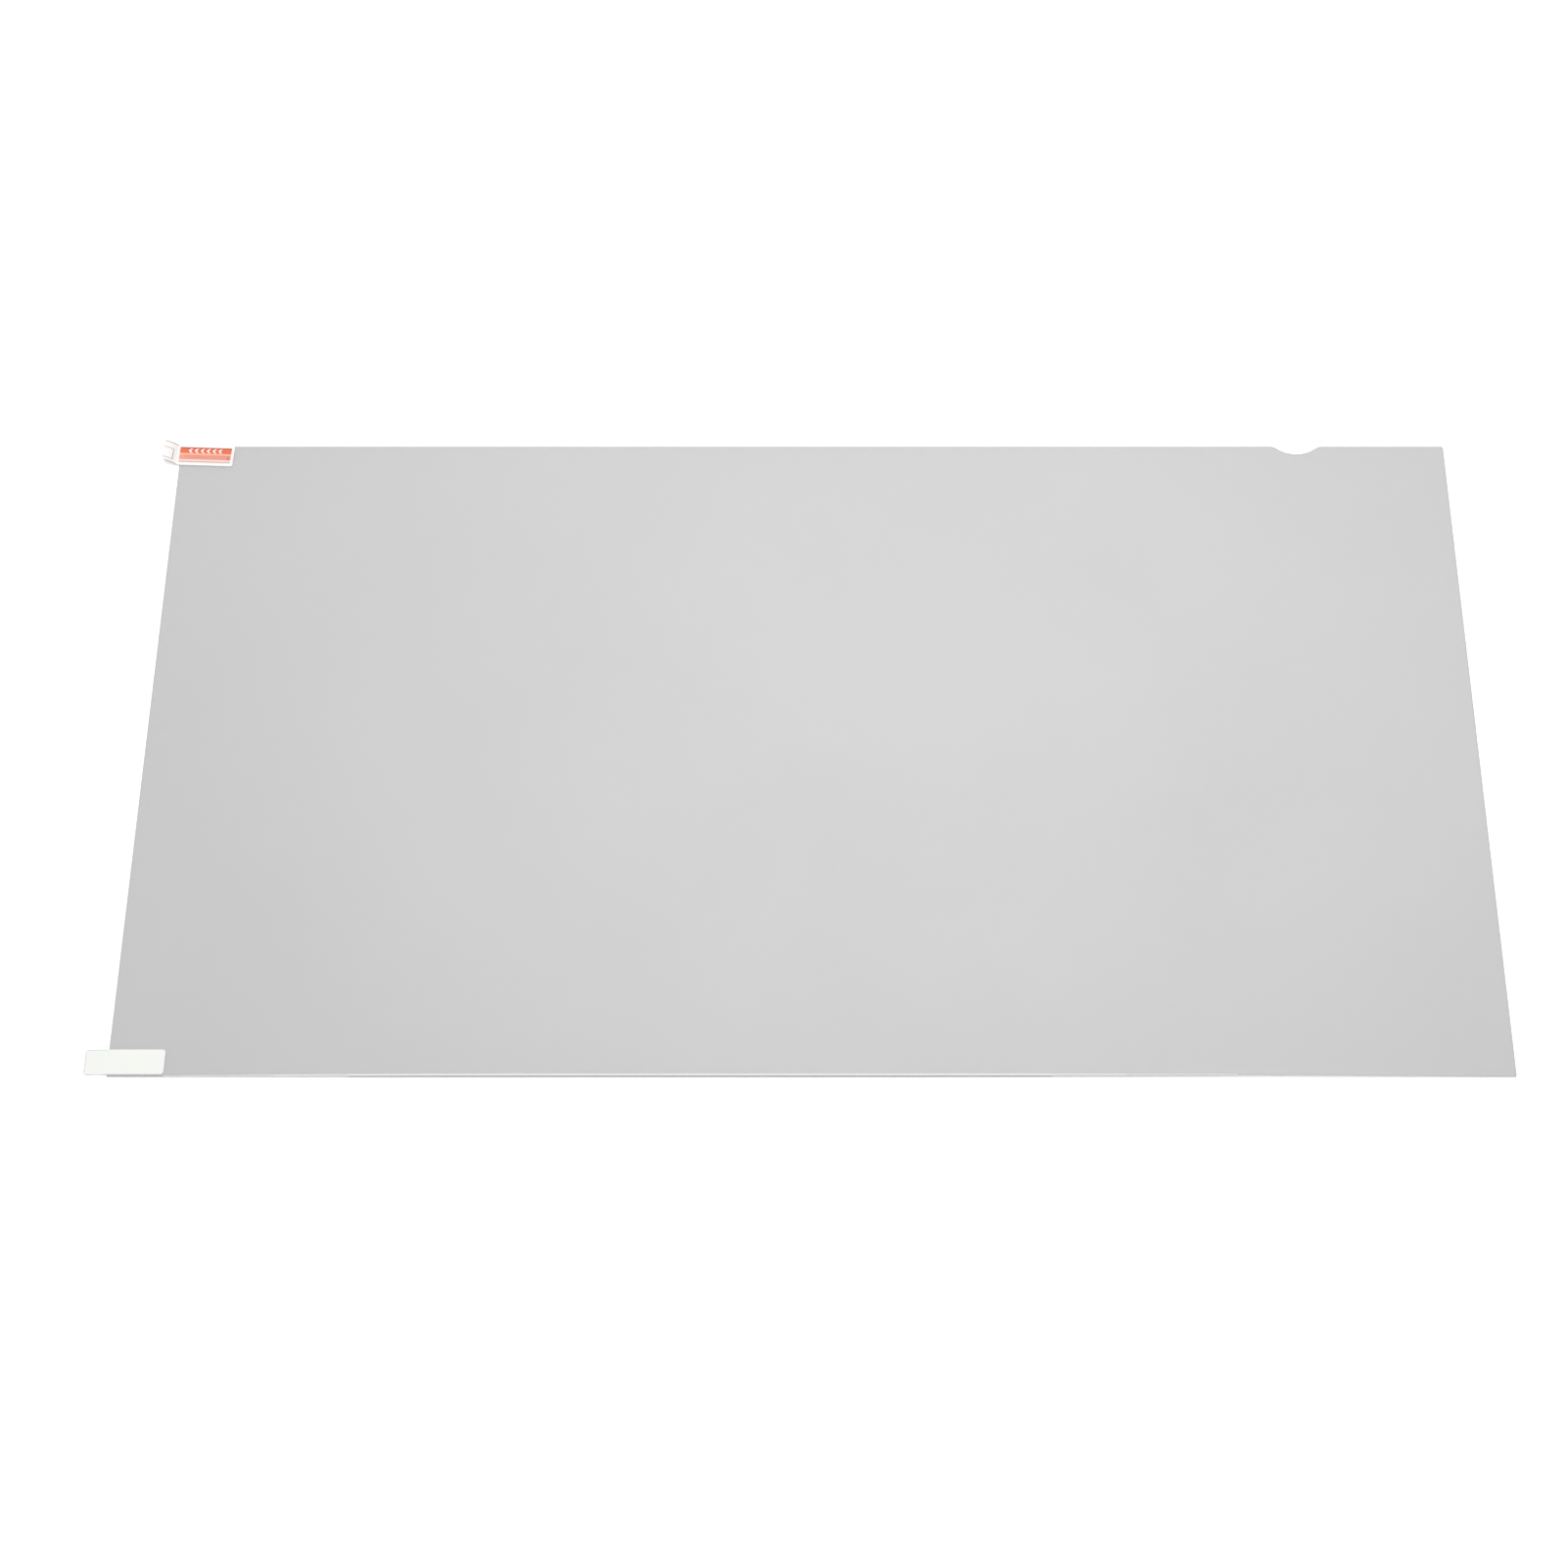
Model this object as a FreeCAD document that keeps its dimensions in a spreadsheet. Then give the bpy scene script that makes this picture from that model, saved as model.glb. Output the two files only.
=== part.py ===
"""Monitor screen protector: a see-through filter sheet between two peel-off films, with two pull tabs.

The sheet lies flat as it would on a table. X runs along the screen's width, Y up the screen, Z out of the
sheet. The origin is the middle of the lower film's outer face. Lengths are millimetres, angles degrees.
"""

import FreeCAD
import Part
import Sketcher

from enum import IntEnum
import math
import os

Vector = FreeCAD.Vector
Constraint = Sketcher.Constraint
UP = Vector(0, 0, 1)


class Spot(IntEnum):
    """How a sketch constraint counts the points of a line, arc or circle."""

    START = 1
    END = 2
    CENTRE = 3


class Datum(IntEnum):
    """How a sketch constraint counts the sketch's own geometry."""

    ORIGIN = -1


SIZES = (
    ("sheet_width", 531.0, "filter across the screen, 24 inch widescreen"),
    ("sheet_height", 299.0, "filter up the screen"),
    ("corner_radius", 1.0, "die-cut corners of the sheet and its films"),
    ("filter_thickness", 0.55, "grey filter sheet"),
    ("film_thickness", 0.075, "each clear peel-off film"),
    ("notch_radius", 12.5, "round punch that cuts the thumb notch"),
    ("notch_depth", 4.0, "how far the punch bites into the top edge"),
    ("notch_shoulder_radius", 4.0, "rounding where the notch meets the top edge"),
    ("notch_from_right", 62.0, "middle of the notch from the right edge"),
    ("tab_length", 30.2, "pull tab label laid flat"),
    ("tab_width", 10.6, "pull tab label"),
    ("tab_thickness", 0.12, "pull tab label with its glue"),
    ("tab_corner_radius", 1.2, "rounded corners of a pull tab"),
    ("red_tab_overhang", 7.6, "grip of the red tab past the left edge, along its curl"),
    ("red_tab_inset", 0.1, "red tab's stuck end below the top edge"),
    ("red_tab_skew", 2.3, "red tab's turn from square, clockwise"),
    ("red_tab_lift_radius", 2.5, "bend where the grip leaves the sheet"),
    ("red_tab_lift_angle", 44.0, "slope of the grip past that bend"),
    ("red_tab_level_radius", 12.0, "curve that levels the grip's tip again"),
    ("white_tab_overhang", 8.7, "grip of the white tab past the left edge"),
    ("white_tab_inset", 0.95, "white tab above the bottom edge"),
    ("white_tab_droop_radius", 100.0, "slow droop of the white tab's grip"),
)


def make_size_table(doc):
    """The driving dimensions, one row each: name, value, meaning."""
    table = doc.addObject("Spreadsheet::Sheet", "sizes")
    for row, (alias, value, meaning) in enumerate(SIZES, start=1):
        table.set(f"A{row}", alias)
        table.set(f"B{row}", str(value))
        table.set(f"C{row}", meaning)
        table.setAlias(f"B{row}", alias)
    doc.recompute()
    return table


def new_sketch(body, name, plane_role):
    """An empty sketch on one of the body's own origin planes."""
    plane = next(f for f in body.Origin.OriginFeatures if f.Role == plane_role)
    sketch = body.newObject("Sketcher::SketchObject", name)
    sketch.AttachmentSupport = [(plane, "")]
    sketch.MapMode = "FlatFace"
    return sketch


def bind(sketch, constraint, name, expression):
    """Adds a dimension to the sketch and ties it to the size table."""
    index = sketch.addConstraint(constraint)
    sketch.renameConstraint(index, name)
    sketch.setExpression(f"Constraints.{name}", expression)


def draw_centred_rectangle(sketch, width, height, width_expression, height_expression):
    """A rectangle about the sketch's origin."""
    x, y = width / 2, height / 2
    corners = [Vector(-x, -y), Vector(x, -y), Vector(x, y), Vector(-x, y)]
    for i, corner in enumerate(corners):
        sketch.addGeometry(Part.LineSegment(corner, corners[(i + 1) % 4]))
    for i in range(4):
        sketch.addConstraint(Constraint("Coincident", i, Spot.END, (i + 1) % 4, Spot.START))
        sketch.addConstraint(Constraint("Vertical" if i % 2 else "Horizontal", i))
    sketch.addConstraint(Constraint("Symmetric", 0, Spot.START, 2, Spot.START, Datum.ORIGIN, Spot.START))
    bind(sketch, Constraint("DistanceX", 0, Spot.START, 0, Spot.END, width), "width", width_expression)
    bind(sketch, Constraint("DistanceY", 1, Spot.START, 1, Spot.END, height), "height", height_expression)


def add_fillet(doc, body, name, base, edges, radius_expression):
    """Rounds the chosen edges of the body's last feature."""
    doc.recompute()
    chosen = [f"Edge{i}" for i, edge in enumerate(base.Shape.Edges, start=1) if edges(edge)]
    fillet = body.newObject("PartDesign::Fillet", name)
    fillet.Base = (base, chosen)
    fillet.setExpression("Radius", radius_expression)
    return fillet


def is_upright(edge):
    """True for a straight edge through the thickness of a flat sheet."""
    along = edge.Vertexes[-1].Point - edge.Vertexes[0].Point
    return len(edge.Vertexes) == 2 and math.hypot(along.x, along.y) < 1e-6


def make_sheet(doc, sizes, label, thickness_expression, bottom_expression):
    """One die-cut layer: a plate with rounded corners and a thumb notch in its top edge."""
    body = doc.addObject("PartDesign::Body", label)
    body.Label = label

    outline = new_sketch(body, f"{label}_outline", "XY_Plane")
    draw_centred_rectangle(
        outline, sizes.sheet_width, sizes.sheet_height, "sizes.sheet_width", "sizes.sheet_height"
    )
    plate = body.newObject("PartDesign::Pad", f"{label}_plate")
    plate.Profile = outline
    plate.setExpression("Length", thickness_expression)
    corners = add_fillet(doc, body, f"{label}_corners", plate, is_upright, "sizes.corner_radius")
    doc.recompute()

    # The punch is a full circle whose middle lies outside the sheet, so only its lower arc cuts.
    notch_x = sizes.sheet_width / 2 - sizes.notch_from_right
    top_y = sizes.sheet_height / 2
    punch_y = top_y + sizes.notch_radius - sizes.notch_depth
    punch = new_sketch(body, f"{label}_punch", "XY_Plane")
    punch.addGeometry(Part.Circle(Vector(notch_x, punch_y), UP, sizes.notch_radius))
    bind(punch, Constraint("Radius", 0, sizes.notch_radius), "radius", "sizes.notch_radius")
    bind(
        punch,
        Constraint("DistanceX", Datum.ORIGIN, Spot.START, 0, Spot.CENTRE, notch_x),
        "across",
        "sizes.sheet_width / 2 - sizes.notch_from_right",
    )
    bind(
        punch,
        Constraint("DistanceY", Datum.ORIGIN, Spot.START, 0, Spot.CENTRE, punch_y),
        "up",
        "sizes.sheet_height / 2 + sizes.notch_radius - sizes.notch_depth",
    )
    notch = body.newObject("PartDesign::Pocket", f"{label}_notch")
    notch.Profile = punch
    notch.Type = "ThroughAll"
    notch.Reversed = True

    def is_notch_mouth(edge):
        middle = edge.CenterOfMass
        beside = abs(middle.x - notch_x) < sizes.notch_radius
        return is_upright(edge) and beside and abs(middle.y - top_y) < 1e-6

    shoulders = add_fillet(
        doc, body, f"{label}_shoulders", notch, is_notch_mouth, "sizes.notch_shoulder_radius"
    )
    if notch.Shape.Volume >= corners.Shape.Volume:
        raise RuntimeError(f"{label}: the thumb notch cut nothing")
    body.Tip = shoulders
    body.setExpression("Placement.Base.z", bottom_expression)
    return body


def add_bend(sketch, last, place, heading, turn, radius, angle, names, expressions):
    """Adds an arc to a tab's side line, tangent to what is there. turn is 1 for up and -1 for down.

    Returns the arc's index with its free end, that end's place, and the new heading in radians.
    """
    index, free_end = last
    to_centre = Vector(-math.sin(heading), math.cos(heading)) * (turn * radius)
    centre = place + to_centre
    first = math.atan2(-to_centre.y, -to_centre.x)
    low, high = sorted((first, first + turn * angle))
    arc = sketch.addGeometry(Part.ArcOfCircle(Part.Circle(centre, UP, radius), low, high))
    near, far = (Spot.START, Spot.END) if turn > 0 else (Spot.END, Spot.START)
    sketch.addConstraint(Constraint("Tangent", index, free_end, arc, near))
    bind(sketch, Constraint("Radius", arc, radius), names[0], expressions[0])
    bind(sketch, Constraint("Angle", arc, angle), names[1], expressions[1])
    last_angle = first + turn * angle
    new_place = centre + Vector(math.cos(last_angle), math.sin(last_angle)) * radius
    return (arc, far), new_place, heading + turn * angle


def make_pull_tab(doc, sizes, label, overhang, overhang_name, bends):
    """A label strip: stuck flat along its land, then a grip that bends as the list of bends says.

    In the body's own frame the stuck end is at the origin and the grip points along +X.
    Each bend is (turn, radius, radius expression, angle in radians, angle expression).
    """
    body = doc.addObject("PartDesign::Body", label)
    body.Label = label

    land = sizes.tab_length - overhang
    side = new_sketch(body, f"{label}_side_line", "XZ_Plane")
    line = side.addGeometry(Part.LineSegment(Vector(0, 0), Vector(land, 0)))
    side.addConstraint(Constraint("Coincident", line, Spot.START, Datum.ORIGIN, Spot.START))
    side.addConstraint(Constraint("Horizontal", line))
    bind(
        side,
        Constraint("DistanceX", line, Spot.START, line, Spot.END, land),
        "land",
        f"sizes.tab_length - sizes.{overhang_name}",
    )
    last, place, heading = (line, Spot.END), Vector(land, 0), 0.0
    for number, (turn, radius, radius_expression, angle, angle_expression) in enumerate(bends, start=1):
        names = (f"bend_radius_{number}", f"bend_angle_{number}")
        last, place, heading = add_bend(
            side, last, place, heading, turn, radius, angle, names, (radius_expression, angle_expression)
        )

    section = new_sketch(body, f"{label}_section", "YZ_Plane")
    draw_centred_rectangle(
        section, sizes.tab_width, sizes.tab_thickness, "sizes.tab_width", "sizes.tab_thickness"
    )
    strip = body.newObject("PartDesign::AdditivePipe", f"{label}_strip")
    strip.Profile = section
    strip.Spine = (side, [])
    strip.Refine = True
    doc.recompute()

    end_area = sizes.tab_width * sizes.tab_thickness
    end_faces = [face for face in strip.Shape.Faces if abs(face.Area - end_area) < 1e-6]

    def is_label_corner(edge):
        short = abs(edge.Length - sizes.tab_thickness) < 1e-6
        return short and any(edge.isSame(other) for face in end_faces for other in face.Edges)

    corners = add_fillet(doc, body, f"{label}_corners", strip, is_label_corner, "sizes.tab_corner_radius")
    body.Tip = corners
    return body


def set_tab_place(body, x_expression, y_expression):
    """Lays a tab on the upper film. The tab's own frame is at the middle of its thickness."""
    body.setExpression("Placement.Base.x", x_expression)
    body.setExpression("Placement.Base.y", y_expression)
    body.setExpression(
        "Placement.Base.z", "2 * sizes.film_thickness + sizes.filter_thickness + sizes.tab_thickness / 2"
    )


def make_red_pull_tab(doc, sizes):
    """The red tab: a skewed label at the upper left corner, its grip kicked up and levelling off."""
    lift = math.radians(sizes.red_tab_lift_angle)
    levelling = (sizes.red_tab_overhang - sizes.red_tab_lift_radius * lift) / sizes.red_tab_level_radius
    lift_expression = "sizes.red_tab_lift_angle * 1 deg"
    levelling_expression = (
        "(sizes.red_tab_overhang - sizes.red_tab_lift_radius * sizes.red_tab_lift_angle * pi / 180)"
        " / sizes.red_tab_level_radius * 1 rad"
    )
    bends = (
        (1, sizes.red_tab_lift_radius, "sizes.red_tab_lift_radius", lift, lift_expression),
        (-1, sizes.red_tab_level_radius, "sizes.red_tab_level_radius", levelling, levelling_expression),
    )
    body = make_pull_tab(doc, sizes, "red_pull_tab", sizes.red_tab_overhang, "red_tab_overhang", bends)
    body.Placement = FreeCAD.Placement(Vector(), FreeCAD.Rotation(UP, 180 - sizes.red_tab_skew))
    body.setExpression("Placement.Rotation.Angle", "(180 - sizes.red_tab_skew) * 1 deg")
    set_tab_place(
        body,
        "-sizes.sheet_width / 2 + sizes.tab_length - sizes.red_tab_overhang",
        "sizes.sheet_height / 2 - sizes.red_tab_inset - sizes.tab_width / 2",
    )
    return body


def make_white_pull_tab(doc, sizes):
    """The white tab: a square label at the lower left corner, its grip drooping a little."""
    droop = sizes.white_tab_overhang / sizes.white_tab_droop_radius
    droop_expression = "sizes.white_tab_overhang / sizes.white_tab_droop_radius * 1 rad"
    bends = ((-1, sizes.white_tab_droop_radius, "sizes.white_tab_droop_radius", droop, droop_expression),)
    body = make_pull_tab(
        doc, sizes, "white_pull_tab", sizes.white_tab_overhang, "white_tab_overhang", bends
    )
    body.Placement = FreeCAD.Placement(Vector(), FreeCAD.Rotation(UP, 180))
    set_tab_place(
        body,
        "-sizes.sheet_width / 2 + sizes.tab_length - sizes.white_tab_overhang",
        "-sizes.sheet_height / 2 + sizes.white_tab_inset + sizes.tab_width / 2",
    )
    return body


def check_document(doc, pieces):
    """Stops on any failed object or unsound shape, before a file is written."""
    failed = [o.Label for o in doc.Objects if {"Invalid", "Error"} & set(o.State)]
    if failed:
        raise RuntimeError(f"these objects failed to build: {failed}")
    for piece in pieces:
        shape = piece.Shape
        if shape.isNull() or not shape.isValid() or len(shape.Solids) != 1:
            raise RuntimeError(f"{piece.Label} isn't one sound solid")


def main():
    doc = FreeCAD.newDocument("screen_protector")
    sizes = make_size_table(doc)

    # Each layer lies on the one before, from the screen outwards, with the labels on the last.
    film, filter_only = "sizes.film_thickness", "sizes.filter_thickness"
    pieces = [
        make_sheet(doc, sizes, "back_film", film, "0 mm"),
        make_sheet(doc, sizes, "filter_sheet", filter_only, f"{film} * 1 mm"),
        make_sheet(doc, sizes, "front_film", film, f"({film} + {filter_only}) * 1 mm"),
        make_red_pull_tab(doc, sizes),
        make_white_pull_tab(doc, sizes),
    ]
    doc.recompute()
    check_document(doc, pieces)

    os.makedirs("parts", exist_ok=True)
    for piece in pieces:
        piece.Shape.exportStep(f"parts/{piece.Label}.step")
        box = piece.Shape.BoundBox
        print(f"{piece.Label}: {box.XLength:.2f} x {box.YLength:.2f} x {box.ZLength:.3f} mm,"
              f" from z {box.ZMin:.3f}, {piece.Shape.Volume:.1f} mm3")


main()
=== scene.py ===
# %% [markdown]
# A screen protector for a wide monitor, lying on a white table as it comes out of its sleeve. It is a grey
# see-through filter between two clear peel-off films, with a thumb notch in its far edge and a pull tab at
# each left corner. The measured solids are loaded first. This lesson gives every one of them its finish.

# %% Load the measured part
import math

import bmesh
import bpy
from mathutils import Matrix, Vector


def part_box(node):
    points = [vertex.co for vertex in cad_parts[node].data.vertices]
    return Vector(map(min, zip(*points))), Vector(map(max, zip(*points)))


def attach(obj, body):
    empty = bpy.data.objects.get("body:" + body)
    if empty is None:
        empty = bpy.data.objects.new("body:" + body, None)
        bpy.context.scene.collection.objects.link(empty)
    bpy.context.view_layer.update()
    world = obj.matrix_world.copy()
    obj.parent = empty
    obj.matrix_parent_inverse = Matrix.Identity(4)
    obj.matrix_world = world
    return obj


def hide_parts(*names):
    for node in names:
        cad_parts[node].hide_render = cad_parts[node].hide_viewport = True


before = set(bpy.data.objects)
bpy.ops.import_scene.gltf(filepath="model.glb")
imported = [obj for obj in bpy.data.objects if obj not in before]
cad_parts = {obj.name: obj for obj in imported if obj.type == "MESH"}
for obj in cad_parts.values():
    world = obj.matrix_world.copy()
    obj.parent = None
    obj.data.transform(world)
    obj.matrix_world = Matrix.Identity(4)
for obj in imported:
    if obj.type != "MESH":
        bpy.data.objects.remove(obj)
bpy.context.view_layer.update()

MM = 0.001
sheet_low, sheet_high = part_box("filter_sheet")
stack_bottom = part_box("back_film")[0].z
stack_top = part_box("front_film")[1].z
print("parts:", ", ".join(sorted(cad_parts)))
print(f"sheet {(sheet_high.x - sheet_low.x) / MM:.0f} x {(sheet_high.y - sheet_low.y) / MM:.0f} mm")

# %% [markdown]
# The camera comes first, because every finish is judged through it. The sheet is seen from well above its
# near edge, through a long lens, so its sides draw in only a little. The picture's middle is a touch left
# of the sheet's own middle line. A turned camera would tilt the level edges, so the lens is shifted
# instead.

# %% Camera
CAMERA_PLACE = Vector((2.6, -783.0, 1201.1)) * MM
CAMERA_PITCH = math.radians(57.523)
STRAIGHT_DOWN = math.radians(90)
SENSOR_MM = 36
LENS_MM = 82.55
LENS_SHIFT = -0.0219
NEAREST_VIEW = 0.05

scene = bpy.context.scene
camera = bpy.data.objects.new("camera", bpy.data.cameras.new("camera"))
camera.location = CAMERA_PLACE
camera.rotation_euler = (STRAIGHT_DOWN - CAMERA_PITCH, 0, 0)
camera.data.sensor_width = SENSOR_MM
camera.data.lens = LENS_MM
camera.data.shift_x = LENS_SHIFT
camera.data.clip_start = NEAREST_VIEW
scene.collection.objects.link(camera)
scene.camera = camera
print(f"camera {CAMERA_PLACE.length:.2f} m away, {LENS_MM:.0f} mm lens")

# %% [markdown]
# A material is a small tree of nodes. These helpers start an empty tree and add a node with its settings in
# one line, so that each finish below reads as what it is made of. A texture could follow an unwrapped map
# too. These pieces are flat and their patterns are fine, so a noise in the object's own space is enough.


# %% Node helpers
def new_finish(name):
    """An empty material with its output node. Returns the material, its tree and the surface socket."""
    material = bpy.data.materials.new(name)
    material.use_nodes = True
    tree = material.node_tree
    tree.nodes.clear()
    output = tree.nodes.new("ShaderNodeOutputMaterial")
    return material, tree, output.inputs["Surface"]


def add(tree, kind, inputs=None, **settings):
    """Adds a node. settings are its own properties; inputs maps an input to a value or another socket."""
    node = tree.nodes.new("ShaderNode" + kind)
    for name, value in settings.items():
        setattr(node, name, value)
    for name, value in (inputs or {}).items():
        if isinstance(value, bpy.types.NodeSocket):
            tree.links.new(value, node.inputs[name])
        else:
            node.inputs[name].default_value = value
    return node


def add_noise(tree, scale, detail):
    """A noise that stays with the piece. A larger scale is finer. Returns its level, from 0 to 1."""
    place = add(tree, "TexCoord").outputs["Object"]
    return add(tree, "TexNoise", {"Vector": place, "Scale": scale, "Detail": detail}).outputs["Fac"]


def add_grain(tree, scale, detail, strength, height):
    """A fine bump made from a noise. Returns the direction that the surface then faces."""
    grain = add_noise(tree, scale, detail)
    return add(tree, "Bump", {"Height": grain, "Strength": strength, "Distance": height}).outputs["Normal"]


def add_shades(tree, level, low, high, start=0.0, end=1.0):
    """A colour that goes from low to high while the level goes from start to end."""
    shades = add(tree, "ValToRGB", {"Fac": level})
    for element, position, colour in zip(shades.color_ramp.elements, (start, end), (low, high)):
        element.position = position
        element.color = colour
    return shades.outputs["Color"]


def grey(value):
    """A neutral colour with full alpha."""
    return (value, value, value, 1)


# %% [markdown]
# Most light comes from a broad overhead source, a little in front of the sheet, so that its cut edge and
# the table before it are lit, and a little to the left, so that the labels' bends are shaded. A Sun with a
# wide angle is such a source, and it lights the whole table evenly. The film doesn't mirror it, because the
# softbox is there for that: it stands where the matte film mirrors it towards the camera, and its soft
# reflection makes the sheet's middle a little lighter than its corners. The room adds a little light from
# all round, and looks white to the eye.

# %% World and lamps
ROOM_LEVEL = 0.25
BACKDROP_LEVEL = 1.0
OVERHEAD_STRENGTH = 2.17
OVERHEAD_WIDTH = math.radians(40)
OVERHEAD_SIDE = Vector((-0.08, -0.34, 1.0))
SOFTBOX_PLACE = Vector((0.09, 0.80, 1.25))
SOFTBOX_AIM = Vector((0.05, 0.01, 0))
SOFTBOX_SIZE = (0.9, 0.22)
SOFTBOX_WATTS = 5.9


def add_seen_by_eye(tree, low, high):
    """high for a ray from the camera, a mirror or a window, and low for the rays that carry light."""
    rays = add(tree, "LightPath").outputs
    direct = add(tree, "Math", {0: rays["Is Camera Ray"], 1: rays["Is Glossy Ray"]}, operation="MAXIMUM")
    seen = add(tree, "Math", {0: direct.outputs[0], 1: rays["Is Transmission Ray"]}, operation="MAXIMUM")
    return add(tree, "MapRange", {"Value": seen.outputs[0], "To Min": low, "To Max": high}).outputs[0]


world = bpy.data.worlds.new("bright_room")
scene.world = world
world.use_nodes = True
room = world.node_tree
room.nodes.clear()
room_level = add_seen_by_eye(room, ROOM_LEVEL, BACKDROP_LEVEL)
background = add(room, "Background", {"Color": grey(1), "Strength": room_level})
add(room, "OutputWorld", {"Surface": background.outputs[0]})

overhead = bpy.data.objects.new("overhead", bpy.data.lights.new("overhead", "SUN"))
overhead.data.energy = OVERHEAD_STRENGTH
overhead.data.angle = OVERHEAD_WIDTH
overhead.rotation_euler = OVERHEAD_SIDE.to_track_quat("Z", "Y").to_euler()
overhead.visible_glossy = False
scene.collection.objects.link(overhead)

softbox = bpy.data.objects.new("softbox", bpy.data.lights.new("softbox", "AREA"))
softbox.data.shape = "RECTANGLE"
softbox.data.size, softbox.data.size_y = SOFTBOX_SIZE
softbox.data.energy = SOFTBOX_WATTS
softbox.location = SOFTBOX_PLACE
softbox.rotation_euler = (SOFTBOX_AIM - SOFTBOX_PLACE).to_track_quat("-Z", "Y").to_euler()
softbox.visible_camera = False
scene.collection.objects.link(softbox)
print(f"room level {ROOM_LEVEL}, overhead {OVERHEAD_STRENGTH}, softbox {SOFTBOX_WATTS} W")

# %% [markdown]
# The table is a broad white plane. Its own colour is nearly white. A little glow that only the camera,
# mirrors and windows see lifts the bare table to pure white, and the sheet's shadow still shows on it. More
# light would do that too, but it would bleach the labels. The table lies a hair under the part, because two
# walls in one place would fight over which is in front.

# %% Table
TABLE_WHITE = 0.95
TABLE_GLOW = 0.13
TABLE_HALF = 6.0
HAIR = 0.02 * MM


def make_table_finish():
    """A nearly white, matte surface with a glow that carries no light."""
    material, tree, surface = new_finish("white_table")
    glow_level = add_seen_by_eye(tree, 0.0, TABLE_GLOW)
    glow = add(tree, "Emission", {"Color": grey(1), "Strength": glow_level})
    white = add(tree, "BsdfDiffuse", {"Color": grey(TABLE_WHITE)})
    both = add(tree, "AddShader", {0: white.outputs[0], 1: glow.outputs[0]})
    tree.links.new(both.outputs[0], surface)
    return material


bm = bmesh.new()
bmesh.ops.create_grid(bm, x_segments=1, y_segments=1, size=TABLE_HALF)
bmesh.ops.translate(bm, vec=(0, 0, -HAIR), verts=bm.verts)
table_mesh = bpy.data.meshes.new("table")
bm.to_mesh(table_mesh)
bm.free()
table_mesh.materials.append(make_table_finish())
table = bpy.data.objects.new("table", table_mesh)
scene.collection.objects.link(table)
print(f"table {2 * TABLE_HALF:.0f} m wide")

# %% [markdown]
# The upper face is what the camera sees. Most light goes through it and is dimmed evenly, so its main
# shader is a tinted Transparent one. A Glass shader would bend the light as well, which a thin flat sheet
# hardly does, and it would be slow and noisy. A share of plain grey is the haze of a matte film, and a
# blurred mirror lies over both. A mirror is stronger at a low angle: the Facing weight to the fifth power
# is the usual formula for that, and works from both sides of a wall. A fine noise gives the matte grain,
# and a slow one the uneven gloss of a film that has been handled.

# %% Upper face finish
FILTER_TINT = 0.63
FILTER_HAZE = 0.38
HAZE_GREY = 0.58
FACE_MIRROR = 0.11
FACE_ROUGHNESS = 0.48
ROUGHNESS_SPREAD = 0.04
PLAIN_FACING = 0.5
MIRROR_POWER = 5.0


def add_mirror_share(tree, head_on):
    """How much a smooth wall mirrors: head_on when it faces the eye, and all at a grazing angle."""
    facing = add(tree, "LayerWeight", {"Blend": PLAIN_FACING}).outputs["Facing"]
    steep = add(tree, "Math", {0: facing, 1: MIRROR_POWER}, operation="POWER").outputs[0]
    return add(tree, "Math", {0: steep, 1: 1 - head_on, 2: head_on}, operation="MULTIPLY_ADD").outputs[0]


def make_upper_face_finish():
    """A tinted clear film with a grey haze, under a blurred mirror."""
    material, tree, surface = new_finish("grey_matte_face")
    grain = add_grain(tree, scale=2600.0, detail=1.0, strength=0.25, height=0.02 * MM)
    smear = add_noise(tree, scale=9.0, detail=3.0)
    roughness = add(tree, "MapRange", {"Value": smear, "To Min": FACE_ROUGHNESS - ROUGHNESS_SPREAD,
                                       "To Max": FACE_ROUGHNESS + ROUGHNESS_SPREAD}).outputs[0]
    clear = add(tree, "BsdfTransparent", {"Color": grey(FILTER_TINT)})
    haze = add(tree, "BsdfDiffuse", {"Color": grey(HAZE_GREY), "Normal": grain})
    body = add(tree, "MixShader", {0: FILTER_HAZE, 1: clear.outputs[0], 2: haze.outputs[0]})
    mirror = add(tree, "BsdfGlossy", {"Color": grey(1), "Roughness": roughness, "Normal": grain})
    share = add_mirror_share(tree, FACE_MIRROR)
    mixed = add(tree, "MixShader", {0: share, 1: body.outputs[0], 2: mirror.outputs[0]})
    tree.links.new(mixed.outputs[0], surface)
    return material


upper_face = make_upper_face_finish()
print(f"upper face: tint {FILTER_TINT}, haze {FILTER_HAZE:.0%}, mirror {FACE_MIRROR:.0%} head on")

# %% [markdown]
# The lower face only lets light through, with the slow unevenness of a cast film. The rim shows the cut. A
# tinted sheet looks dark edge on, because light has come a long way inside it, so the filter's band is a
# darker grey than its face. Along the lifted middle of the near edge that darker grey also stands in for
# the shade under the edge, so there it is partly painted shade. Where the films are tight on it, or nearly
# so, the cut is painted paler, which is painted light. Where the clear film has come loose, its rolled edge
# is painted pale as a painted highlight, and a strong blurred mirror adds a real reflection. Three steps
# let that fade out along the edge.

# %% Lower face and rim finishes
FILM_TINT = 0.99
TINT_SPREAD = 0.004
CLOUD_LOW = 0.3
CLOUD_HIGH = 0.7


def make_lower_face_finish():
    """Clear film whose tint drifts very slightly."""
    material, tree, surface = new_finish("clear_lower_face")
    cloud = add_noise(tree, scale=7.0, detail=2.0)
    tint = add(tree, "MapRange", {"Value": cloud, "From Min": CLOUD_LOW, "From Max": CLOUD_HIGH,
                                  "To Min": FILM_TINT - TINT_SPREAD, "To Max": FILM_TINT + TINT_SPREAD})
    clear = add(tree, "BsdfTransparent", {"Color": tint.outputs[0]})
    tree.links.new(clear.outputs[0], surface)
    return material


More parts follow.
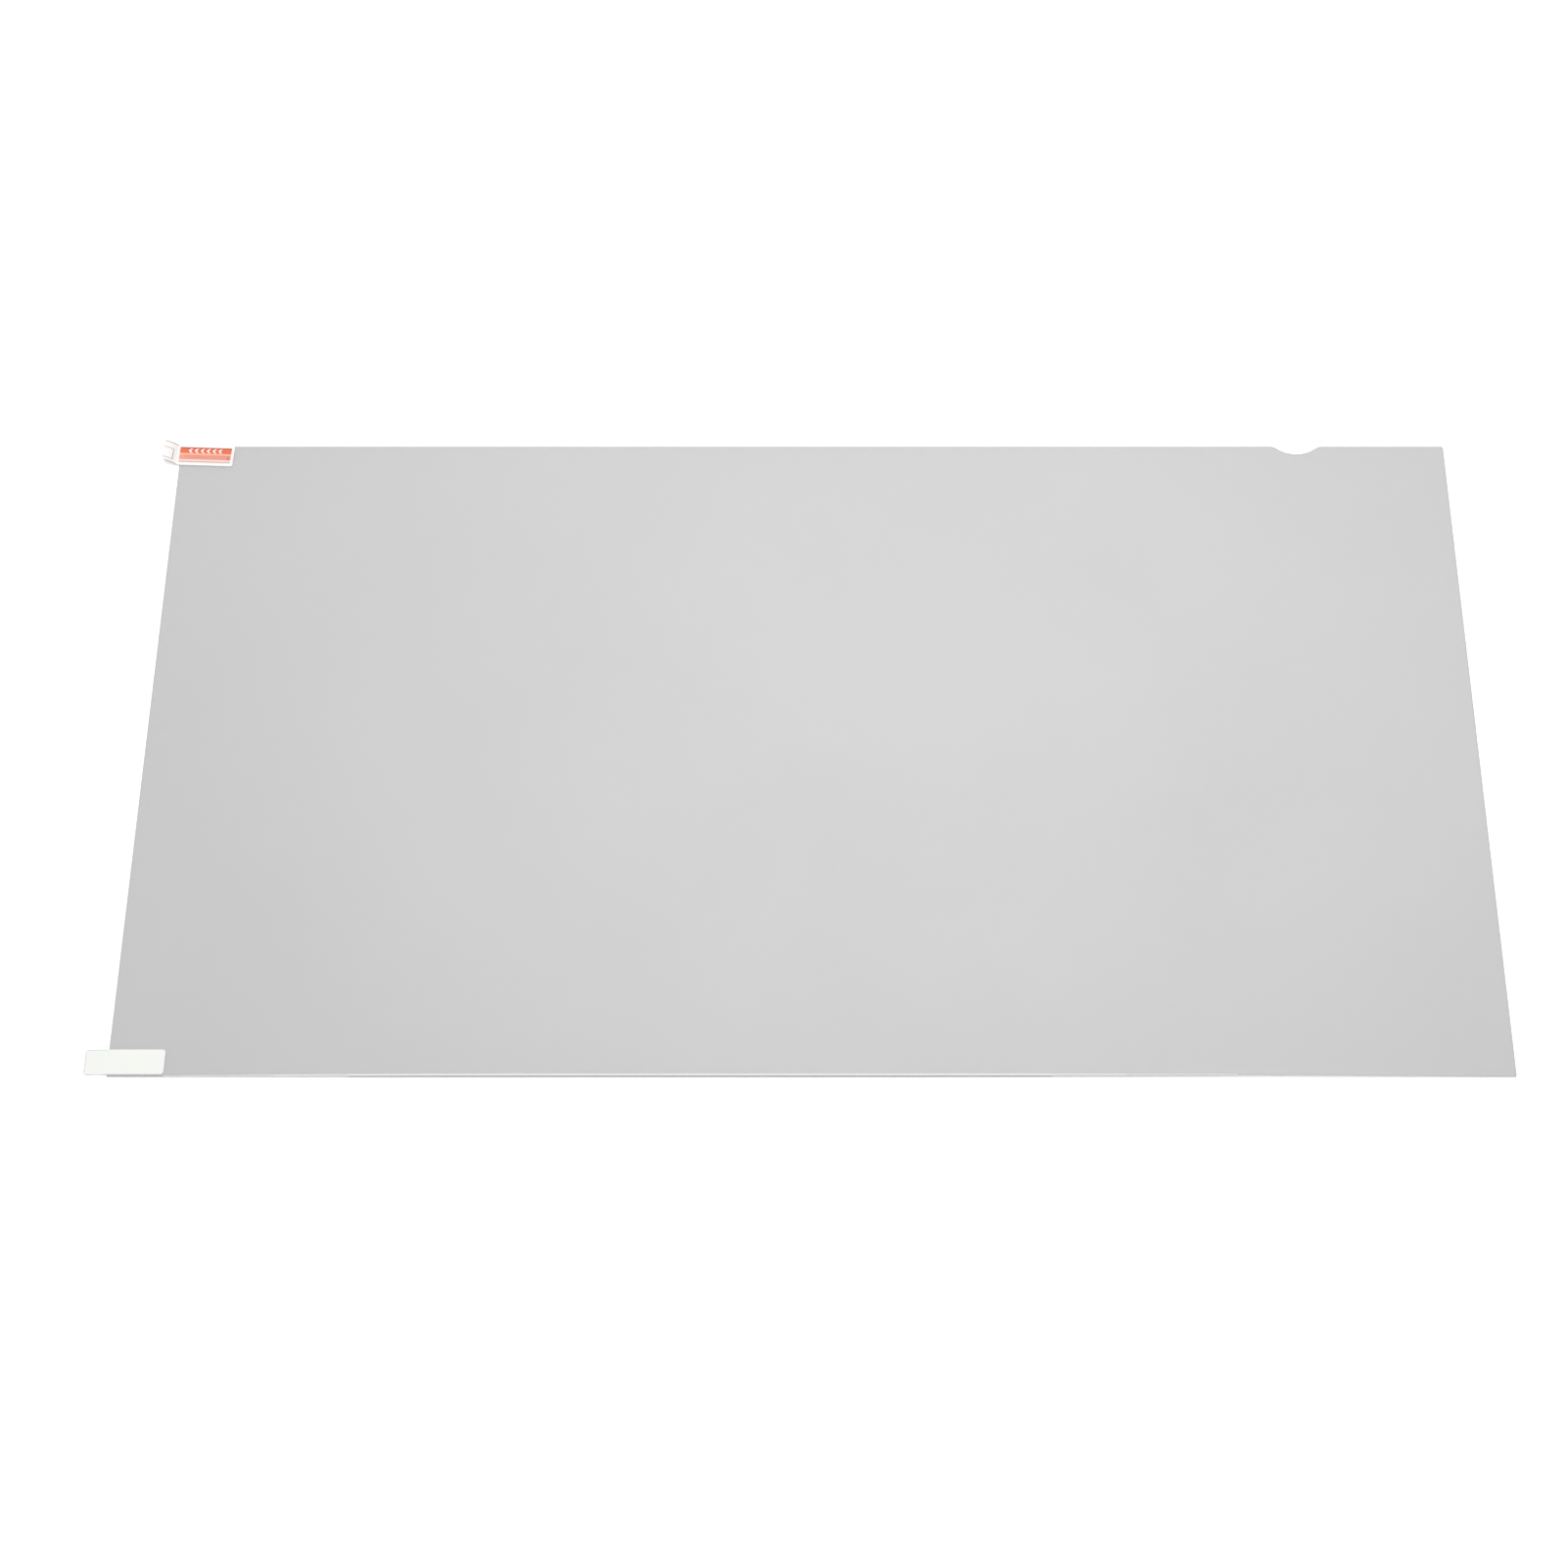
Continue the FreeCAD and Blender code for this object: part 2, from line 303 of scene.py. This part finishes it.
def make_rim_finish(name, dark, pale, roughness, mirror_share):
    """A cut edge with fine streaks between two greys, under a blurred mirror."""
    material, tree, surface = new_finish(name)
    streaks = add_noise(tree, scale=900.0, detail=3.0)
    shade = add_shades(tree, streaks, grey(dark), grey(pale))
    cut_wall = add(tree, "BsdfDiffuse", {"Color": shade})
    mirror = add(tree, "BsdfGlossy", {"Color": grey(pale), "Roughness": roughness})
    mixed = add(tree, "MixShader", {0: mirror_share, 1: cut_wall.outputs[0], 2: mirror.outputs[0]})
    tree.links.new(mixed.outputs[0], surface)
    return material


lower_face = make_lower_face_finish()
# The cut rim's grey is partly painted shade. The tight rim's paler grey is painted light, and the loose
# rims' pale greys are a painted highlight under a real mirror.
cut_rim_and_painted_shade = make_rim_finish("die_cut_rim_and_painted_shade", dark=0.42, pale=0.54, roughness=0.6, mirror_share=0.1)
tight_rim_painted_light = make_rim_finish("tight_film_rim_painted_light", dark=0.74, pale=0.84, roughness=0.6, mirror_share=0.1)
loose_rims_painted_highlight = [
    make_rim_finish("barely_loose_rim_painted_highlight", dark=0.66, pale=0.72, roughness=0.5, mirror_share=0.3),
    make_rim_finish("half_loose_rim_painted_highlight", dark=0.70, pale=0.76, roughness=0.5, mirror_share=0.5),
    make_rim_finish("loose_rim_painted_highlight", dark=0.74, pale=0.80, roughness=0.5, mirror_share=0.7),
]
print("rims:", ", ".join(rim.name for rim in [cut_rim_and_painted_shade, tight_rim_painted_light, *loose_rims_painted_highlight]))

# %% [markdown]
# A measured solid comes as loose triangles. A copy is merged into one skin, and its flat triangles are
# joined into whole faces. Further cuts are made only through chosen faces, so that a cut on one side leaves
# the other sides whole. A finished piece hides the solids that it stands for.

# %% Mesh helpers
SAME_PLACE = 0.0005 * MM
FLAT_ANGLE = math.radians(0.5)
ALONG_X = (1, 0, 0)
ALONG_Y = (0, 1, 0)


def merged_copy(node):
    """The CAD node's mesh as one closed skin with whole flat faces."""
    bm = bmesh.new()
    bm.from_mesh(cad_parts[node].data)
    bmesh.ops.remove_doubles(bm, verts=bm.verts, dist=SAME_PLACE)
    bmesh.ops.dissolve_limit(bm, angle_limit=FLAT_ANGLE, verts=bm.verts, edges=bm.edges)
    bm.normal_update()
    return bm


def cut(bm, faces, point, normal):
    """Cuts only these faces along a plane. A dict holds each corner and edge once, always in one order."""
    verts = dict.fromkeys(vert for face in faces for vert in face.verts)
    edges = dict.fromkeys(edge for face in faces for edge in face.edges)
    geom = [*verts, *edges, *faces]
    bmesh.ops.bisect_plane(bm, geom=geom, dist=SAME_PLACE, plane_co=point, plane_no=normal)


def show(bm, name, finishes, nodes, sharp_angle):
    """Turns a bmesh into a piece that rides on the part and stands for these nodes."""
    mesh = bpy.data.meshes.new(name)
    bm.to_mesh(mesh)
    bm.free()
    for finish in finishes:
        mesh.materials.append(finish)
    mesh.shade_smooth()
    mesh.set_sharp_from_angle(angle=sharp_angle)
    piece = bpy.data.objects.new(name, mesh)
    scene.collection.objects.link(piece)
    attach(piece, "root")
    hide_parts(*nodes)
    print(f"{name}: {len(mesh.polygons)} faces")


# %% [markdown]
# The two films cling to the filter with no air between, so light meets only one front and one back. Three
# stacked see-through solids would have six walls, and each would cost light and time. So one slab stands
# for all three layers. It starts from the filter's solid, and its faces move out to the films' outer faces,
# the upper one to just under the labels. The die rolls the edge over a little on the side that it enters,
# and draws the upper film down with it, so the upper edge is bevelled and the bevel has the face's finish.

# %% Slab of filter and films
UPPER, LOWER, RIM, TIGHT_RIM_PAINTED_LIGHT, FIRST_PAINTED_HIGHLIGHT_RIM = range(5)
ROLL_OVER = 0.38 * MM
ROLL_OVER_STEPS = 3
FACES_UP = 0.99
SIDEWAYS = 0.1
slab_top = stack_top - HAIR / 2
filter_middle = (sheet_low.z + sheet_high.z) / 2


def slab_finish(face):
    """Which finish a face has, by the way that it faces."""
    if face.normal.z > SIDEWAYS:
        return UPPER
    if face.normal.z < -SIDEWAYS:
        return LOWER
    return RIM


slab = merged_copy("filter_sheet")
for vert in slab.verts:
    vert.co.z = stack_bottom if vert.co.z < filter_middle else slab_top
slab.normal_update()
upper_edges = [edge for face in slab.faces if face.normal.z > FACES_UP for edge in face.edges]
bmesh.ops.bevel(slab, geom=upper_edges, offset=ROLL_OVER, segments=ROLL_OVER_STEPS, profile=0.5,
                affect="EDGES", material=-1)
slab.normal_update()
for face in slab.faces:
    face.material_index = slab_finish(face)
print(f"slab: {len(slab.faces)} faces, {(slab_top - stack_bottom) / MM:.2f} mm thick")

# %% [markdown]
# A thin sheet never lies quite flat. The near edge of this one rises a little off the table along its
# middle and comes down again towards both corners. The films have come loose along most of that stretch.
# The upper one stands a little off the filter, and its rolled edge is painted pale as a painted highlight.
# The lower one hangs a little, so the cut below is taller, and its darker grey there is painted shade.
# Further out both are still tight, and the cut there is painted paler as painted light. A cloth simulation
# could find such a shape, but a formula keeps the far edge, the corners and the labels where they were
# measured.

# %% Shape of the near edge
LIFT = 1.9 * MM
LIFT_CREST = -22 * MM
LIFT_LEFT_REACH = 222 * MM
LIFT_RIGHT_REACH = 280 * MM
LIFT_DEPTH = 130 * MM
UPPER_FILM_GAP = 0.6 * MM
LOWER_FILM_GAP = 0.8 * MM
LOOSE_MIDDLE = -42 * MM
LOOSE_HALVES = [202 * MM, 165 * MM, 130 * MM]
LOOSE_DEPTH = 30 * MM
PLATEAU_POWER = 4


def near_edge_share(x, y, middle, reach, depth):
    """1 along the middle of the near edge, down to 0 at this reach along it and this depth from it."""
    along = max(0, 1 - ((x - middle) / reach) ** PLATEAU_POWER)
    nearness = max(0, 1 - (y - sheet_low.y) / depth)
    smooth = (3 - 2 * nearness) * nearness ** 2
    return along * smooth


def front_lift(place):
    """How far the sheet stands off the table at this place."""
    reach = LIFT_LEFT_REACH if place.x < LIFT_CREST else LIFT_RIGHT_REACH
    return LIFT * near_edge_share(place.x, place.y, LIFT_CREST, reach, LIFT_DEPTH)


def film_drop(place):
    """How far this place hangs below the loose upper film: the filter a little, the lower film more."""
    drop = 0
    if place.z < filter_middle:
        drop += UPPER_FILM_GAP
    if place.z < stack_bottom + HAIR:
        drop += LOWER_FILM_GAP
    return drop * near_edge_share(place.x, place.y, LOOSE_MIDDLE, LOOSE_HALVES[0], LOOSE_DEPTH)


loose_length = 2 * LOOSE_HALVES[0]
print(f"near edge: {LIFT / MM:.1f} mm off the table, films loose along {loose_length / MM:.0f} mm")

# %% [markdown]
# The slab needs more faces to bend, so it is cut into a grid of them along its near edge. Each new face of
# that edge takes its finish from how loose the films are there: a painted highlight, painted light or
# painted shade. Then the grid's corners move.

# %% Bend the slab
LENGTHWISE_CUTS = 36
CROSSWISE_CUTS = 13
TOWARDS_FRONT = -0.2
STRAIGHT_TO_FRONT = -0.9
SHEET_ANGLE = math.radians(10)


def near_edge_finish(face):
    """The finish of the rolled edge and of the cut below it along the near edge: a painted highlight where
    the film is loose, painted light on the cut where it is tight, and painted shade on the cut in the
    middle.
    """
    x = face.calc_center_median().x
    looseness = sum(abs(x - LOOSE_MIDDLE) < half for half in LOOSE_HALVES)
    if looseness and face.normal.y < TOWARDS_FRONT and face.material_index == UPPER:
        return FIRST_PAINTED_HIGHLIGHT_RIM + looseness - 1
    if looseness < len(LOOSE_HALVES) and face.normal.y < STRAIGHT_TO_FRONT:
        return FIRST_PAINTED_HIGHLIGHT_RIM if looseness else TIGHT_RIM_PAINTED_LIGHT
    return face.material_index


for step in range(CROSSWISE_CUTS, 0, -1):
    depth = LIFT_DEPTH * step / CROSSWISE_CUTS
    cut(slab, slab.faces[:], (0, sheet_low.y + depth, 0), ALONG_Y)
for step in range(LENGTHWISE_CUTS + 1):
    x = LIFT_CREST - LIFT_LEFT_REACH + (LIFT_LEFT_REACH + LIFT_RIGHT_REACH) * step / LENGTHWISE_CUTS
    cut(slab, slab.faces[:], (x, 0, 0), ALONG_X)
for face in slab.faces:
    face.material_index = near_edge_finish(face)
for vert in slab.verts:
    vert.co.z += front_lift(vert.co) - film_drop(vert.co)
slab.normal_update()
show(slab, "grey_filter_sheet", [upper_face, lower_face, cut_rim_and_painted_shade, tight_rim_painted_light, *loose_rims_painted_highlight],
     ["back_film", "filter_sheet", "front_film"], SHEET_ANGLE)

# %% [markdown]
# The labels are matte plastic stock. Plain white stock has a very faint fibre, and the printed fields are
# inks of a few colours with a slightly uneven lay. So every finish is one shader whose colour drifts
# between two shades. The cut edge of the stock is painted darker as painted shade, which draws a thin
# outline round a white label on a white table.

# %% Label finishes
INK_ROUGHNESS = 0.4


def make_stock_finish(name, low, high, scale, detail, roughness, start=0.0, end=1.0):
    """Label stock with a fine fibre, whose colour drifts from low to high as a noise does."""
    material, tree, surface = new_finish(name)
    shade = add_shades(tree, add_noise(tree, scale, detail), low, high, start, end)
    fibre = add_grain(tree, scale=5200.0, detail=2.0, strength=0.15, height=0.01 * MM)
    stock = add(tree, "BsdfPrincipled", {"Base Color": shade, "Roughness": roughness, "Normal": fibre})
    tree.links.new(stock.outputs[0], surface)
    return material


def make_label_finish(name, colour, unevenness=0.02, roughness=0.5):
    """One colour, a little darker in some places and lighter in others."""
    low = (*[part * (1 - unevenness) for part in colour], 1)
    high = (*[min(1, part * (1 + unevenness)) for part in colour], 1)
    return make_stock_finish(name, low, high, scale=420.0, detail=4.0, roughness=roughness)


def make_ink(name, colour, unevenness):
    """A printed colour, a little glossier than the stock."""
    return make_label_finish(name, colour, unevenness, INK_ROUGHNESS)


red_label_finishes = [
    make_label_finish("label_white", (0.91, 0.89, 0.875)),
    # The stock's cut edge is painted dark grey: painted shade that outlines the label.
    make_label_finish("label_edge_painted_shade", (0.30, 0.29, 0.28)),
    make_ink("orange_red_ink", (0.70, 0.143, 0.062), unevenness=0.06),
    make_ink("peach_ink", (0.90, 0.52, 0.37), unevenness=0.04),
    make_ink("salmon_ink", (0.76, 0.31, 0.245), unevenness=0.05),
    make_ink("deep_salmon_ink", (0.66, 0.22, 0.16), unevenness=0.05),
    make_ink("pale_peach_ink", (0.89, 0.69, 0.60), unevenness=0.04),
    make_ink("pale_pink_ink", (0.52, 0.35, 0.33), unevenness=0.04),
    # Grey for the grip's printed box and for its outline, which is painted edge shade.
    make_label_finish("grey_print_and_painted_edge_shade", (0.36, 0.33, 0.33), unevenness=0.05, roughness=0.45),
    make_ink("dark_red_ink", (0.36, 0.06, 0.025), unevenness=0.05),
    make_ink("dull_rose_ink", (0.48, 0.20, 0.17), unevenness=0.05),
]
(STOCK, STOCK_EDGE_PAINTED_SHADE, ORANGE, PEACH, SALMON, DEEP_SALMON, PALE_PEACH, PINK, GREY_PRINT_AND_EDGE_SHADE, DARK_RED,
 ROSE) = range(len(red_label_finishes))
print("red label:", ", ".join(finish.name for finish in red_label_finishes))

# %% [markdown]
# The red label is worked on in its own place: its stuck end at the origin, its grip along X. Every field is
# then a rectangle, given in millimetres: along the label from its stuck end, and across it from its far
# side. The grip has no colour on it, only a printed open box of thin lines and a thin grey outline along
# its edges, which is painted edge shade.

# %% Red label's place and print
TAB_LENGTH = 30.2 * MM
TAB_WIDTH = 10.6 * MM
RED_OVERHANG = 7.6 * MM
RED_INSET = 0.1 * MM
RED_SKEW = math.radians(2.3)
PRINT_START, PRINT_END = 1.2, 23.0
RULE_START, RULE_END = 3.2, 20.4
GRIP_START, BOX_START, GRIP_END = 23.6, 25.2, 30.2
LINE = 0.3

red_place = Matrix.Translation((sheet_low.x + TAB_LENGTH - RED_OVERHANG,
                                sheet_high.y - RED_INSET - TAB_WIDTH / 2, 0))
red_place = red_place @ Matrix.Rotation(math.pi - RED_SKEW, 4, "Z")


def field(ink, start, end, far_side, near_side):
    """A rectangle of print, or of painted edge shade, in the label's own place. Where two fields overlap,
    the first one shows.
    """
    return ink, start * MM, end * MM, far_side * MM - TAB_WIDTH / 2, near_side * MM - TAB_WIDTH / 2


FIELDS = [
    field(DARK_RED, PRINT_START, PRINT_END, 1.2, 1.75),
    field(ORANGE, PRINT_START, PRINT_END, 1.75, 4.35),
    field(PEACH, PRINT_START, PRINT_END, 4.35, 5.0),
    field(ROSE, 1.8, 2.9, 5.6, 7.4),
    field(DEEP_SALMON, RULE_START, RULE_END, 5.4, 5.7),
    field(DEEP_SALMON, RULE_START, RULE_END, 6.4, 6.7),
    field(SALMON, PRINT_START, PRINT_END, 5.0, 7.6),
    field(PALE_PEACH, PRINT_START, PRINT_END, 7.6, 8.45),
    field(PINK, PRINT_START, PRINT_END, 8.45, 9.05),
    field(GREY_PRINT_AND_EDGE_SHADE, BOX_START, GRIP_END, 3.5, 3.8),
    field(GREY_PRINT_AND_EDGE_SHADE, BOX_START, GRIP_END, 8.7, 9.0),
    field(GREY_PRINT_AND_EDGE_SHADE, BOX_START, BOX_START + LINE, 3.8, 8.7),
    # These three lines outline the grip's edges: painted edge shade, not print.
    field(GREY_PRINT_AND_EDGE_SHADE, GRIP_START, GRIP_END, 0.55, 0.9),
    field(GREY_PRINT_AND_EDGE_SHADE, GRIP_START, GRIP_END, 10.3, 10.6),
    field(GREY_PRINT_AND_EDGE_SHADE, GRIP_END - LINE, GRIP_END, 0.9, 10.3),
]
print(f"red label: {len(FIELDS)} fields")

# %% [markdown]
# Straight cuts through the label's upper face part each field from its neighbours. A picture could hold the
# print, or thin plates could lie on the label. Print that is cut into the face stays sharp at any distance
# and lies in it as ink does, and no layer hovers over another.

# %% Red label, cut into fields
FLAT_SIDE = 0.5


def upper_faces(bm):
    """The faces that are looked down on."""
    return [face for face in bm.faces if face.normal.z > FLAT_SIDE]


def ink_at(place):
    """The first field that holds this place, or bare stock."""
    for ink, start, end, far_side, near_side in FIELDS:
        if start < place.x < end and far_side < place.y < near_side:
            return ink
    return STOCK


red_label = merged_copy("red_pull_tab")
bmesh.ops.transform(red_label, matrix=red_place.inverted(), verts=red_label.verts)
red_label.normal_update()
for x in sorted({edge for _, start, end, _, _ in FIELDS for edge in (start, end)}):
    cut(red_label, upper_faces(red_label), (x, 0, 0), ALONG_X)
for y in sorted({edge for *_, far_side, near_side in FIELDS for edge in (far_side, near_side)}):
    cut(red_label, upper_faces(red_label), (0, y, 0), ALONG_Y)
for face in red_label.faces:
    face.material_index = STOCK if abs(face.normal.z) > FLAT_SIDE else STOCK_EDGE_PAINTED_SHADE
for face in upper_faces(red_label):
    face.material_index = ink_at(face.calc_center_median())
print(f"red label: {len(red_label.faces)} faces with its fields")

# %% [markdown]
# A row of white chevrons in the orange field points to the grip. Each one is two slanting bars, cut in the
# upper and lower half of the field. A place's reach, which is its distance along the label plus its
# distance from the row's middle line, is the same all along a slanting side. So one number tells what is in
# a bar.

# %% Chevrons
CHEVRONS = 6
FIRST_TIP = 6.9 * MM
TIP_STEP = 2.5 * MM
CHEVRON_STROKE = 0.8 * MM
CHEVRON_MIDDLE = 2.95 * MM - TAB_WIDTH / 2
CHEVRON_HALF = 1.1 * MM
LABEL_ANGLE = math.radians(30)
tips = [FIRST_TIP + TIP_STEP * number for number in range(CHEVRONS)]


def orange_faces(side):
    """Faces of the orange field on one side of the chevrons' middle line, within their height."""
    inside = []
    for face in upper_faces(red_label):
        offset = (face.calc_center_median().y - CHEVRON_MIDDLE) * side
        if face.material_index == ORANGE and 0 < offset < CHEVRON_HALF:
            inside.append(face)
    return inside


for offset in (-CHEVRON_HALF, 0, CHEVRON_HALF):
    orange = [face for face in red_label.faces if face.material_index == ORANGE]
    cut(red_label, orange, (0, CHEVRON_MIDDLE + offset, 0), ALONG_Y)
for side in (-1, 1):
    for tip in tips:
        for x in (tip, tip - CHEVRON_STROKE):
            cut(red_label, orange_faces(side), (x, CHEVRON_MIDDLE, 0), (1, side, 0))
    for face in orange_faces(side):
        middle = face.calc_center_median()
        reach = middle.x + abs(middle.y - CHEVRON_MIDDLE)
        if any(tip - CHEVRON_STROKE < reach < tip for tip in tips):
            face.material_index = STOCK

bmesh.ops.transform(red_label, matrix=red_place, verts=red_label.verts)
show(red_label, "red_label", red_label_finishes, ["red_pull_tab"], LABEL_ANGLE)

# %% [markdown]
# The white label is bare stock, with the faint green and cream cast that thin white vinyl has over glue,
# and a neutral margin at its stuck end. A thin grey line round the grip is painted edge shade. Margin and
# line are cut into the upper face as the red label's print is.

# %% White label
WHITE_OVERHANG = 8.7 * MM
WHITE_MARGIN = 2.6 * MM
PAINTED_EDGE_SHADE_WIDTH = 0.35 * MM
CAST, CAST_EDGE_PAINTED_SHADE, MARGIN, PAINTED_EDGE_SHADE = range(4)
GREEN_CAST = (0.825, 0.86, 0.835, 1)
CREAM_CAST = (0.86, 0.86, 0.80, 1)
white_low, white_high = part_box("white_pull_tab")
margin_start = sheet_low.x + TAB_LENGTH - WHITE_OVERHANG - WHITE_MARGIN
grip_line = white_low.x + PAINTED_EDGE_SHADE_WIDTH
far_line = white_high.y - PAINTED_EDGE_SHADE_WIDTH


def vinyl_at(place):
    """The margin, the line of painted edge shade round the grip, or the cast of the rest."""
    if place.x > margin_start:
        return MARGIN
    if place.x < grip_line or (place.x < sheet_low.x and place.y > far_line):
        return PAINTED_EDGE_SHADE
    return CAST


white_finishes = [
    make_stock_finish("white_vinyl", GREEN_CAST, CREAM_CAST, scale=130.0, detail=2.0, roughness=0.42,
                      start=0.35, end=0.65),
    red_label_finishes[STOCK_EDGE_PAINTED_SHADE],
    make_label_finish("vinyl_margin", (0.845, 0.845, 0.84)),
    # A grey line of painted edge shade round the grip.
    make_label_finish("vinyl_painted_edge_shade", (0.64, 0.64, 0.63)),
]
white_label = merged_copy("white_pull_tab")
for x in (grip_line, sheet_low.x, margin_start):
    cut(white_label, upper_faces(white_label), (x, 0, 0), ALONG_X)
cut(white_label, upper_faces(white_label), (0, far_line, 0), ALONG_Y)
for face in white_label.faces:
    face.material_index = CAST if abs(face.normal.z) > FLAT_SIDE else CAST_EDGE_PAINTED_SHADE
for face in upper_faces(white_label):
    face.material_index = vinyl_at(face.calc_center_median())
show(white_label, "white_label", white_finishes, ["white_pull_tab"], LABEL_ANGLE)

# %% [markdown]
# Last, the view shows colours as they are written.

# %% View
scene.view_settings.view_transform = "Standard"
